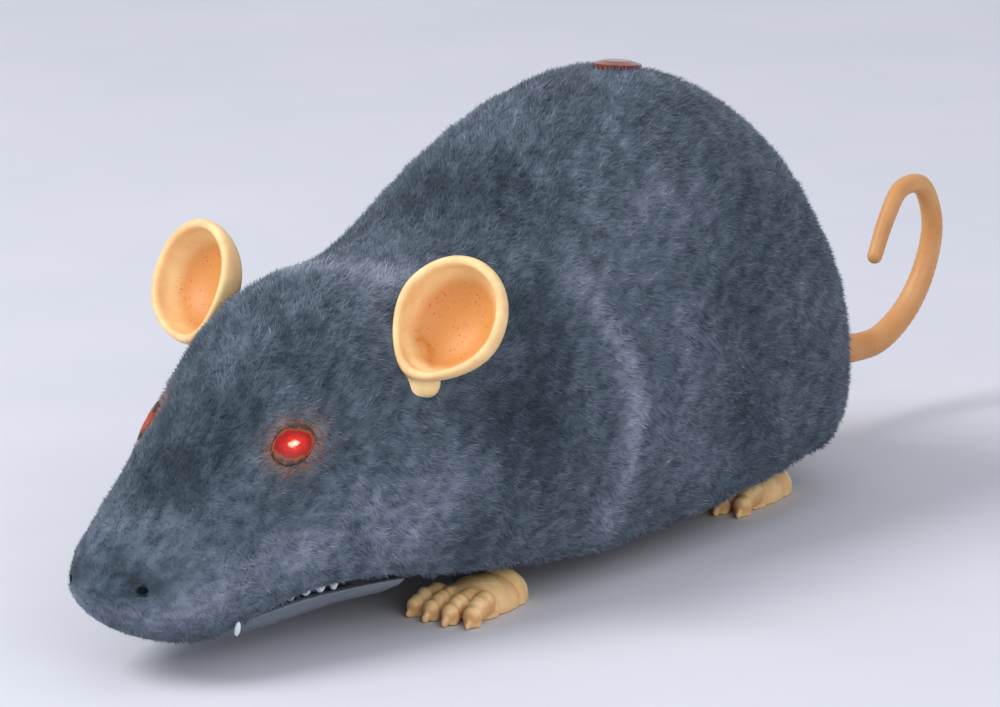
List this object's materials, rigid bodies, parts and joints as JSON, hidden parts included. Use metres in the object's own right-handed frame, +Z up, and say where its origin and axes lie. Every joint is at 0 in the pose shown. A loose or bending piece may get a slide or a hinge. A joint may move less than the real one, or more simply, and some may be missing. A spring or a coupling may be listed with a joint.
{
  "type": "robotic mouse cat toy",
  "caption": "Battery cat toy shaped like a mouse: flocked shell on a belly pan, worm-driven cranked legs with vinyl paws, lit eyes, cupped ears and a curled tail.",
  "frame": {"origin": "centre of the bounding box at the floor, under the paws", "axes": "+Z up, the nose points to -Y and the mouse's left side is +X"},
  "size_m": [0.0854, 0.2671, 0.0913],
  "materials": {
    "flock": "short blue-grey flocking over a hard shell",
    "vinyl": "soft cream vinyl with an orange spray",
    "grey_plastic": "satin grey",
    "dark_plastic": "fine matte texture",
    "white_plastic": "glossy white",
    "gear_plastic": "natural moulded gear plastic",
    "red_lens": "clear red",
    "led": "clear red resin",
    "steel": "bright plated",
    "motor_can": "bright plated can",
    "board": "green circuit board",
    "chip_black": "black resin",
    "cell": "printed metallic wrap, plain",
    "lead": "red sleeve"
  },
  "bodies": {
    "body": {"body_shell": "flock", "belly_pan": "dark_plastic", "lower_jaw": "grey_plastic", "upper_teeth": "white_plastic", "lower_teeth": "white_plastic", "left_ear": "vinyl", "left_eye_lens": "red_lens", "left_eye_led": "led", "right_ear": "vinyl", "right_eye_lens": "red_lens", "right_eye_led": "led", "receiver_window": "red_lens", "infrared_receiver": "chip_black", "main_board": "board", "battery_box": "dark_plastic", "front_battery_cell": "cell", "front_contact_spring": "steel", "front_contact_plate": "steel", "front_gear_frame": "dark_plastic", "rear_battery_cell": "cell", "rear_contact_spring": "steel", "rear_contact_plate": "steel", "rear_gear_frame": "dark_plastic", "power_switch_body": "steel", "motor": "motor_can", "motor_clamp": "steel", "tail": "vinyl", "front_left_case_screw": "steel", "front_right_case_screw": "steel", "rear_left_case_screw": "steel", "rear_right_case_screw": "steel", "jaw_screw": "steel", "motor_lead": "lead", "battery_lead": "lead"},
    "rear_crankshaft_body": {"rear_crankshaft": "steel", "rear_worm_wheel": "gear_plastic", "left_rear_crank": "gear_plastic", "right_rear_crank": "gear_plastic"},
    "front_crankshaft_body": {"front_crankshaft": "steel", "front_worm_wheel": "gear_plastic", "left_front_crank": "gear_plastic", "right_front_crank": "gear_plastic"},
    "drive_shaft_body": {"drive_shaft": "steel", "front_worm": "gear_plastic", "rear_worm": "gear_plastic"},
    "left_front_leg": {"left_front_leg_arm": "dark_plastic", "left_front_paw": "vinyl"},
    "left_front_idler": {"left_front_idler_crank": "gear_plastic"},
    "right_front_leg": {"right_front_leg_arm": "dark_plastic", "right_front_paw": "vinyl"},
    "right_front_idler": {"right_front_idler_crank": "gear_plastic"},
    "left_rear_leg": {"left_rear_leg_arm": "dark_plastic", "left_rear_paw": "vinyl"},
    "left_rear_idler": {"left_rear_idler_crank": "gear_plastic"},
    "right_rear_leg": {"right_rear_leg_arm": "dark_plastic", "right_rear_paw": "vinyl"},
    "right_rear_idler": {"right_rear_idler_crank": "gear_plastic"},
    "battery_door_body": {"battery_door": "dark_plastic"},
    "power_switch_knob_body": {"power_switch_knob": "white_plastic"}
  },
  "joints": [
    {"name": "rear_crankshaft_spin", "type": "hinge", "parent": "body", "child": "rear_crankshaft_body", "pos_m": [0, 0.03634, 0.0209], "axis": [1, 0, 0], "continuous": true},
    {"name": "front_crankshaft_spin", "type": "hinge", "parent": "body", "child": "front_crankshaft_body", "pos_m": [0, -0.05266, 0.0209], "axis": [1, 0, 0], "continuous": true},
    {"name": "drive_shaft_spin", "type": "hinge", "parent": "body", "child": "drive_shaft_body", "pos_m": [0, -0.0094, 0.0319], "axis": [0, 1, 0], "continuous": true},
    {"name": "left_front_leg_swing", "type": "hinge", "parent": "front_crankshaft_body", "child": "left_front_leg", "pos_m": [0.0211, -0.05526, 0.0209], "axis": [1, 0, 0], "continuous": true},
    {"name": "left_front_idler_spin", "type": "hinge", "parent": "body", "child": "left_front_idler", "pos_m": [0.0173, -0.03766, 0.0209], "axis": [1, 0, 0], "continuous": true},
    {"name": "right_front_leg_swing", "type": "hinge", "parent": "front_crankshaft_body", "child": "right_front_leg", "pos_m": [-0.0211, -0.05006, 0.0209], "axis": [1, 0, 0], "continuous": true},
    {"name": "right_front_idler_spin", "type": "hinge", "parent": "body", "child": "right_front_idler", "pos_m": [-0.0173, -0.03766, 0.0209], "axis": [1, 0, 0], "continuous": true},
    {"name": "left_rear_leg_swing", "type": "hinge", "parent": "rear_crankshaft_body", "child": "left_rear_leg", "pos_m": [0.0211, 0.03894, 0.0209], "axis": [1, 0, 0], "continuous": true},
    {"name": "left_rear_idler_spin", "type": "hinge", "parent": "body", "child": "left_rear_idler", "pos_m": [0.0173, 0.02134, 0.0209], "axis": [1, 0, 0], "continuous": true},
    {"name": "right_rear_leg_swing", "type": "hinge", "parent": "rear_crankshaft_body", "child": "right_rear_leg", "pos_m": [-0.0211, 0.03374, 0.0209], "axis": [1, 0, 0], "continuous": true},
    {"name": "right_rear_idler_spin", "type": "hinge", "parent": "body", "child": "right_rear_idler", "pos_m": [-0.0173, 0.02134, 0.0209], "axis": [1, 0, 0], "continuous": true},
    {"name": "power_switch_slide", "type": "slide", "parent": "body", "child": "power_switch_knob_body", "axis": [1, 0, 0], "range_m": [0, 0.004]},
    {"name": "battery_door_slide", "type": "slide", "parent": "body", "child": "battery_door_body", "axis": [0, 1, 0], "range_m": [0, 0.01]}
  ],
  "couplings": [
    {"joint": "front_crankshaft_spin", "follows": "rear_crankshaft_spin", "ratio": 1},
    {"joint": "drive_shaft_spin", "follows": "rear_crankshaft_spin", "ratio": -16},
    {"joint": "left_front_leg_swing", "follows": "rear_crankshaft_spin", "ratio": -1},
    {"joint": "left_front_idler_spin", "follows": "rear_crankshaft_spin", "ratio": 1},
    {"joint": "right_front_leg_swing", "follows": "rear_crankshaft_spin", "ratio": -1},
    {"joint": "right_front_idler_spin", "follows": "rear_crankshaft_spin", "ratio": 1},
    {"joint": "left_rear_leg_swing", "follows": "rear_crankshaft_spin", "ratio": -1},
    {"joint": "left_rear_idler_spin", "follows": "rear_crankshaft_spin", "ratio": 1},
    {"joint": "right_rear_leg_swing", "follows": "rear_crankshaft_spin", "ratio": -1},
    {"joint": "right_rear_idler_spin", "follows": "rear_crankshaft_spin", "ratio": 1}
  ]
}
